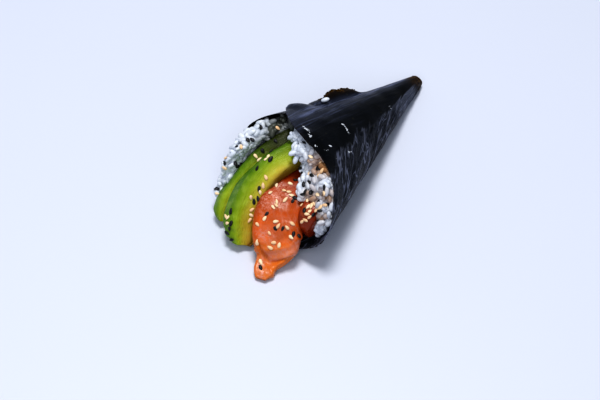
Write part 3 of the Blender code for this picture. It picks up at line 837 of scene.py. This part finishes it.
def makeRiceCore(material):
    angle = np.linspace(-180, 180, 150, endpoint=False)[None, :]
    rings = []
    for share in np.linspace(0, 1, 12)[:-1]:
        length = rice["start"] + (riceWallEnd(angle)[0] - rice["start"]) * share
        offset = riceOffset(angle)[0] - 0.4 - (rice["coreInset"] - 0.4) * share
        rings.append(rollPoint(angle, length, offset))
    share = np.linspace(0, 0.995, 46)[:, None] + 0 * angle
    rings = np.concatenate([np.concatenate(rings), riceFront(angle + 0 * share, share, rice["coreInset"])])
    relief = 0.55 * softNoise(rings, 2.6, 31) + 0.3 * softNoise(rings, 1.3, 32)
    outward = unit(rings - rings.mean(axis=1, keepdims=True))
    rings = rings + outward * (np.minimum(relief, 0.4) - 0.3)[..., None]
    rings[..., 0] = np.maximum(rings[..., 0], leftmost + 0.7)
    sauce, shade = nearSpots(rings, rice["sauce"]), nearSpots(rings, rice["shade"])
    values = {"tint": 0.2 + 0 * sauce, "sauce": 1.3 * sauce, "shade": shade}
    return closeEnds(rings, "rice_core", material, ("rice",), values, rings[..., :2] / 10)


def grainShape(bend):  # width (1 - |t|^2.6)^0.5 round a slightly bent axis, from t = -1 to 1
    t = np.array([-1, -0.88, -0.6, -0.2, 0.2, 0.6, 0.88, 1])[:, None]
    turn = np.linspace(0, 2 * np.pi, 8, endpoint=False)[None, :]
    width = np.sqrt(np.maximum(1 - np.abs(t) ** 2.6, 0.02))
    across = width * np.cos(turn) + bend * (1 - t * t)
    points = np.stack([t + 0 * turn, across, 0.88 * width * np.sin(turn)], axis=-1)
    return points, gridFaces(8, 8, closed=True)


def seedShape():  # a flat teardrop: width (1 - t^2)^0.55 * (1 - 0.28 t), thickness about half of it
    t = np.array([-1, -0.85, -0.5, 0, 0.45, 0.8, 1])[:, None]
    turn = np.linspace(0, 2 * np.pi, 8, endpoint=False)[None, :]
    width = np.maximum(1 - t * t, 0.008) ** 0.55 * (1 - 0.28 * t)
    points = np.stack([t + 0 * turn, width * np.cos(turn), 0.55 * width * np.sin(turn)], axis=-1)
    return points, gridFaces(7, 8, closed=True)


def joinCopies(shape, centres, axes, sizes):  # centre + x * axis0 + y * axis1 + z * axis2, for every copy
    points, faces = shape
    rows, columns = points.shape[:2]
    caps = np.array([list(range(columns))[::-1], list(range((rows - 1) * columns, rows * columns))])
    flat = points.reshape(-1, 3)
    faces = faces if enclosed(flat, faces) > 0 else faces[:, ::-1]
    placed = centres[:, None] + np.einsum("nvk,nkj->nvj", flat[None] * sizes[:, None], axes)
    shift = (np.arange(len(centres)) * len(flat))[:, None, None]
    quads, ends = (faces[None] + shift).reshape(-1, 4), (caps[None] + shift).reshape(-1, columns)
    return placed.reshape(-1, 3), quads.tolist() + ends.tolist(), len(flat)


def axesFor(normals, tilt):  # random direction in the surface, tilted out of it by a random share
    wild = random.normal(size=normals.shape)
    along = unit(np.cross(normals, wild))
    along = unit(along + normals * random.uniform(-tilt, tilt, (len(normals), 1)))
    across = unit(np.cross(normals, along))
    return np.stack([along, across, np.cross(along, across)], axis=1)


def spreadOut(points, spacing):  # keeps the points that stand at least this far from every one kept before
    kept, cells = [], {}
    for i, key in enumerate(map(tuple, np.floor(points / spacing).astype(int))):
        near = [j for d in np.ndindex(3, 3, 3) for j in cells.get(tuple(np.add(key, d) - 1), ())]
        if all(np.linalg.norm(points[i] - points[j]) > spacing for j in near):
            kept.append(i)
            cells.setdefault(key, []).append(i)
    return np.array(kept)


def roomAround(tree, points):  # distance of each point to a filling, negative inside it
    room = np.zeros(len(points))
    for i, point in enumerate(points):
        hit, normal, _, distance = tree.find_nearest(Vector(point))
        room[i] = math.copysign(distance, (Vector(point) - hit).dot(normal))
    return room


def insideSheet(points):  # how far a point lies inside the outer layer, along its own angle round the roll
    local = points - roll["apex"]
    length = -local[:, 1]
    middle = (roll["halfHeight"] - roll["sink"]) * length
    across, up = local[:, 0] / roll["halfWidth"], (local[:, 2] - middle) / roll["halfHeight"]
    angle = np.degrees(np.arctan2(across, up))
    wall = rollPoint(angle, length, riceOffset(angle)[0] + 0.5)
    axis = np.stack([0 * length, -length, middle], axis=-1) + roll["apex"]
    depth = np.linalg.norm(wall - axis, axis=1) - np.linalg.norm(points - axis, axis=1)
    return np.where(length > rimLength(riceOffset(angle)[1]) + 0.5, 9.0, depth)


def treeOf(piece):
    mesh = piece.data
    points = np.zeros(len(mesh.vertices) * 3, np.float32)
    mesh.vertices.foreach_get("co", points)
    faces = [list(face.vertices) for face in mesh.polygons]
    return BVHTree.FromPolygons((points.reshape(-1, 3) / mm).tolist(), faces)


def makeGrains(material, fillings, sidePiece):
    angle = random.uniform(-180, 180, rice["tries"])
    share = random.uniform(0.0, 0.98, rice["tries"])
    here = riceFront(angle, share)
    sideways = riceFront(angle + 0.4, share) - here
    inwards = riceFront(angle, np.minimum(share + 0.004, 0.999)) - here
    area = np.linalg.norm(np.cross(sideways, inwards), axis=1)
    normal = unit(np.cross(sideways, inwards))
    normal = np.where(normal[:, 1:2] > 0.2, -normal, normal)
    keep = random.uniform(0, 1, len(area)) < area / np.quantile(area, 0.99)
    here, normal = here[keep], normal[keep]
    kept = spreadOut(here, rice["spacing"])
    there, thereNormal = here[::-1], normal[::-1]
    loose = spreadOut(there, rice["looseSpacing"])
    deep, shallow = rice["grainDepths"]
    centres = np.concatenate([here[kept] - normal[kept] * deep, there[loose] - thereNormal[loose] * shallow])
    normals = np.concatenate([normal[kept], thereNormal[loose]])
    centres = centres + random.normal(0, rice["jitter"], centres.shape)
    room = np.min([roomAround(treeOf(piece), centres) for piece in fillings], axis=0)
    free = (room > rice["roomBesideFilling"]) & (centres[:, 2] > rice["roomAboveFloor"])
    free = free & (roomAround(treeOf(sidePiece), centres) > rice["roomBesidePiece"])
    free = free & (insideSheet(centres) > rice["roomInSheet"])
    centres, normals = centres[free], normals[free]
    for place, spread, count in rice["clumps"]:
        clump = roll["apex"] + np.array(place) + random.normal(0, spread * 0.6, (count, 3))
        facing = unit(random.normal((-0.2, -0.5, 0.7), 0.3, (count, 3)))
        inside = (insideSheet(clump) > 1.3) | (count == 1)
        centres = np.concatenate([centres, clump[inside]])
        normals = np.concatenate([normals, facing[inside]])
    centres[:, 0] = np.maximum(centres[:, 0], leftmost)
    axes = axesFor(normals, rice["grainTilt"])
    count = len(centres)
    sizes = np.stack([
        rice["grainLength"] / 2 * random.uniform(0.82, 1.12, count),
        rice["grainWidth"] / 2 * random.uniform(0.88, 1.1, count),
        rice["grainWidth"] / 2 * random.uniform(0.85, 1.05, count),
    ], axis=1)
    stray = insideSheet(centres) < 0
    normal, along = unit(np.array(rice["strayNormal"])), np.array(rice["strayAlong"])
    along = unit(along - normal * along.dot(normal))
    axes[stray] = np.stack([along, np.cross(normal, along), normal])
    tips = axes[:, 0] * sizes[:, :1]
    fits = (insideSheet(centres + tips) > 0.1) & (insideSheet(centres - tips) > 0.1) | stray
    centres, axes, sizes = centres[fits], axes[fits], sizes[fits]
    points, faces, each = joinCopies(grainShape(0.08), centres, axes, sizes)
    points[:, 2] = np.maximum(points[:, 2], 0.15)
    values = {key: np.repeat(nearSpots(centres, rice[key]), each) for key in ("sauce", "shade")}
    values["tint"] = np.repeat(random.uniform(0, 1, len(centres)), each)
    print(len(centres), "grains")
    return makePiece("rice_grains", points, faces, material, (), values)


def riceLook():
    look = Look("rice", Specular_IOR_Level=0.3)
    cloudy = look.noise(look.place(), 420.0, 3.0)
    base = look.mix(cloudy.step(0.35, 0.7), (0.59, 0.63, 0.71), (0.76, 0.79, 0.84))
    base = look.mix(look.value("tint") * 0.25, base, (0.52, 0.58, 0.70))
    soaked = (look.value("sauce") * (0.6 + look.noise(look.place(), 300.0, 2.0))).clamp()
    base = look.mix(soaked * 0.92, base, (0.33, 0.145, 0.028))
    # painted shade under the hump of the rim
    base = look.mix(look.value("shade") * 0.92, base, (0.022, 0.025, 0.006))
    rough = (0.26 + 0.25 * cloudy).clamp()
    return look.feed(Base_Color=base, Roughness=rough, Normal=look.bumpFrom(cloudy, 0.0002, 0.6))


seeds = {
    "length": 2.85,
    "width": 1.65,
    "tilt": 0.3,
    "sesame_black": ((0.004, 0.004, 0.006), (0.012, 0.012, 0.016), 0.45),  # two tints and roughness
    "sesame_white": ((0.78, 0.52, 0.30), (0.94, 0.76, 0.52), 0.4),
    "clusters": (  # x and y from the apex, spread in mm, black seeds, white seeds
        (-25, -116, 1, 1, 0), (-18, -113, 2, 0, 1), (-13.5, -119, 1, 1, 0),
        (-24, -128, 3, 2, 1), (-26, -134, 3, 4, 1), (-28, -139, 3, 2, 2),
        (-29, -145, 2, 3, 2), (-17, -125.5, 2.5, 2, 3), (-19, -130, 2.5, 0, 2),
        (-9, -131, 4, 2, 2), (-11.5, -137, 2, 1, 0), (-4, -135, 4, 0, 3),
        (-4, -142, 3, 1, 3), (-4, -146, 1.5, 4, 1), (-4.5, -151, 2.5, 0, 3),
        (-11.5, -158, 1.5, 1, 3), (-8.5, -160.5, 1.5, 3, 2), (-6, -163, 1, 1, 0),
        (2, -121.5, 2, 1, 2), (7, -127, 3, 3, 1), (13, -129, 4, 3, 3),
        (12, -125, 2, 0, 2), (17, -125, 3, 2, 3), (25, -133, 2, 1, 2),
        (7.5, -136, 3, 0, 6), (10.5, -137, 2.5, 2, 1), (6, -142, 4, 0, 6),
        (4.5, -150, 2.5, 3, 4), (14, -150.5, 3.5, 3, 5), (8, -157, 3, 0, 3),
        (15, -157, 2.5, 1, 3), (13.4, -164.5, 1.2, 2, 1), (20, -148, 2.5, 2, 2),
        (20, -138.5, 2.2, 1, 8), (24, -141, 2, 1, 8), (22, -141.5, 2, 0, 6),
        (21, -135, 2, 1, 4), (24.5, -137.5, 2.5, 5, 3), (29, -136.5, 2.5, 4, 3),
        (17, -135, 2.5, 2, 1),
    ),
}


def placeCopies(name, shape, size, centres, normals, tilt, material, uneven=0.08):
    count = len(centres)
    sizes = np.array(size) / 2 * np.exp(random.normal(0, uneven, (count, 1)))
    sizes = sizes * random.uniform(0.9, 1.1, (count, 3))
    points, faces, each = joinCopies(shape, centres, axesFor(normals, tilt), sizes)
    tint = np.repeat(random.uniform(0, 1, count), each)
    print(count, name)
    return makePiece(name, points, faces, material, (), {"tint": tint})


def seedPlaces(ground):  # drops the seeds straight down on the food, at least a seed's width apart
    centres, normals, black = [], [], []
    for x, y, spread, blackCount, whiteCount in seeds["clusters"]:
        for i in range(blackCount + whiteCount):
            at = random.normal((x, y), spread * 0.6) + roll["apex"][:2]
            hits = [tree.ray_cast(Vector((*at, 90)), Vector((0, 0, -1))) for tree in ground]
            hits = [hit for hit in hits if hit[0] is not None]
            if hits:
                top = min(hits, key=lambda hit: hit[3])
                centres.append(top[0])
                normals.append(top[1])
                black.append(i < blackCount)
    centres, normals, black = np.array(centres), unit(np.array(normals)), np.array(black)
    kept = spreadOut(centres, seeds["width"])
    return centres[kept] + normals[kept] * 0.3, normals[kept], black[kept]


def seedLook(name, dark, light, rough):
    look = Look(name)
    grain = look.noise(look.place(), 1400.0, 3.0)
    base = look.mix(look.value("tint"), dark, light)
    base = look.mix(grain.step(0.4, 0.7) * 0.3, base, dark)
    rough = (rough + 0.15 * grain).clamp()
    return look.feed(Base_Color=base, Roughness=rough, Normal=look.bumpFrom(grain, 0.0001, 0.5))


def makeDrops():  # starchy drops left on the sheet by wet fingers; their pale colour is partly painted glints
    angle, length, size = [], [], []
    for start, end, count, spread in nori["drops"]:
        at = random.uniform(0, 1, count)
        angle.append(start[0] + (end[0] - start[0]) * at + random.normal(0, spread * 2.2, count))
        length.append(start[1] + (end[1] - start[1]) * at + random.normal(0, spread, count))
    angle, length = np.concatenate(angle), np.concatenate(length)
    length = np.minimum(length, rimLength(angle) - 1)
    height = edgeLift(angle, length) + noriRelief(angle, length) - nori["inset"]
    centres = rollPoint(angle, length, height)
    normals = unit(rollPoint(angle, length, height + 1) - centres)
    look = Look("starch_drops_and_glints")
    # pale grey to near white: the starch's own colour and painted glints
    base = look.mix(look.noise(look.place(), 900.0, 2.0), (0.30, 0.32, 0.36), (0.75, 0.78, 0.84))
    look.feed(Base_Color=base, Roughness=0.1 + 0.2 * look.value("tint"))
    shape, size, material = grainShape(0.1), nori["dropSize"], look.material
    placeCopies("starch_drops_and_glints", shape, size, centres, normals, 0.0, material, 0.55)


camera = {
    "target": np.array([1.3, -117.4, 0.0]),  # from the apex
    "distance": 720.0,
    "azimuth": 35.01,
    "elevation": 50.31,
    "roll": 3.49,
    "lens": 86.53,
}


def makeCamera():
    azimuth, elevation = math.radians(camera["azimuth"]), math.radians(camera["elevation"])
    level = math.cos(elevation)
    back = Vector((math.sin(azimuth) * level, -math.cos(azimuth) * level, math.sin(elevation)))
    target = Vector((roll["apex"] + camera["target"]) * mm)
    data = bpy.data.cameras.new("camera")
    data.lens = camera["lens"]
    data.sensor_width = 36.0
    made = bpy.data.objects.new("camera", data)
    bpy.context.scene.collection.objects.link(made)
    turn = back.to_track_quat("Z", "Y").to_matrix().to_4x4()
    turn = turn @ Matrix.Rotation(math.radians(camera["roll"]), 4, "Z")
    made.matrix_world = Matrix.Translation(target + back * camera["distance"] * mm) @ turn
    bpy.context.scene.camera = made


stage = {
    "floorColour": (0.62, 0.65, 0.75, 1),
    "worldColour": (0.80, 0.88, 1.0, 1),
    "worldStrength": 0.24,
    "lights": (  # place, size, power, colour
        ("key", (-0.15, 0.08, 1.45), 0.42, 12.6, (1.0, 0.99, 0.97)),
        ("fill", (0.50, -0.95, 1.10), 1.00, 6.0, (0.97, 0.98, 1.0)),
    ),
}


def makeStage():
    mesh = bpy.data.meshes.new("floor")
    mesh.from_pydata([(-3, -3, 0), (3, -3, 0), (3, 3, 0), (-3, 3, 0)], [], [(0, 1, 2, 3)])
    floor = bpy.data.objects.new("floor", mesh)
    bpy.context.scene.collection.objects.link(floor)
    mesh.materials.append(Look("floor", Roughness=0.5, Base_Color=stage["floorColour"]).material)
    world = bpy.data.worlds.new("studio")
    bpy.context.scene.world = world
    world.use_nodes = True
    background = world.node_tree.nodes["Background"]
    background.inputs["Color"].default_value = stage["worldColour"]
    background.inputs["Strength"].default_value = stage["worldStrength"]
    for name, place, size, power, colour in stage["lights"]:
        data = bpy.data.lights.new(name, "AREA")
        data.size, data.energy, data.color = size, power, colour
        made = bpy.data.objects.new(name, data)
        bpy.context.scene.collection.objects.link(made)
        made.location = place
        made.rotation_euler = Vector(place).to_track_quat("Z", "Y").to_euler()
    bpy.context.scene.view_settings.view_transform = "Standard"
    bpy.context.scene.view_settings.look = "High Contrast"


noriMaterial = noriLook()
makeNori(noriMaterial)
makeNoriTip(noriMaterial)
makeFringe(noriMaterial)
makeDrops()
print("nori made")
sliceFront = makeAvocado("avocado_slice_front", "avocado_front", frontSlice)
sliceRear = makeAvocado("avocado_slice_rear", "avocado_rear", rearSlice)
stripFront = makeSalmon("salmon_strip", "salmon_front", frontStrip)
stripSide = makeSalmon("salmon_piece", "salmon_side", sideStrip)
print("fillings made")
riceMaterial = riceLook()
riceCore = makeRiceCore(riceMaterial)
grains = makeGrains(riceMaterial, [sliceFront, sliceRear, stripFront], stripSide)
print("rice made")
ground = [treeOf(piece) for piece in (sliceFront, sliceRear, stripFront, stripSide, riceCore, grains)]
places, facing, black = seedPlaces(ground)
seedSize = (seeds["length"], seeds["width"], seeds["width"])
for name, chosen in (("sesame_black", black), ("sesame_white", ~black)):
    look = seedLook(name, *seeds[name])
    placeCopies(name, seedShape(), seedSize, places[chosen], facing[chosen], seeds["tilt"], look)
print("sesame made")
makeStage()
makeCamera()
print("stage made")
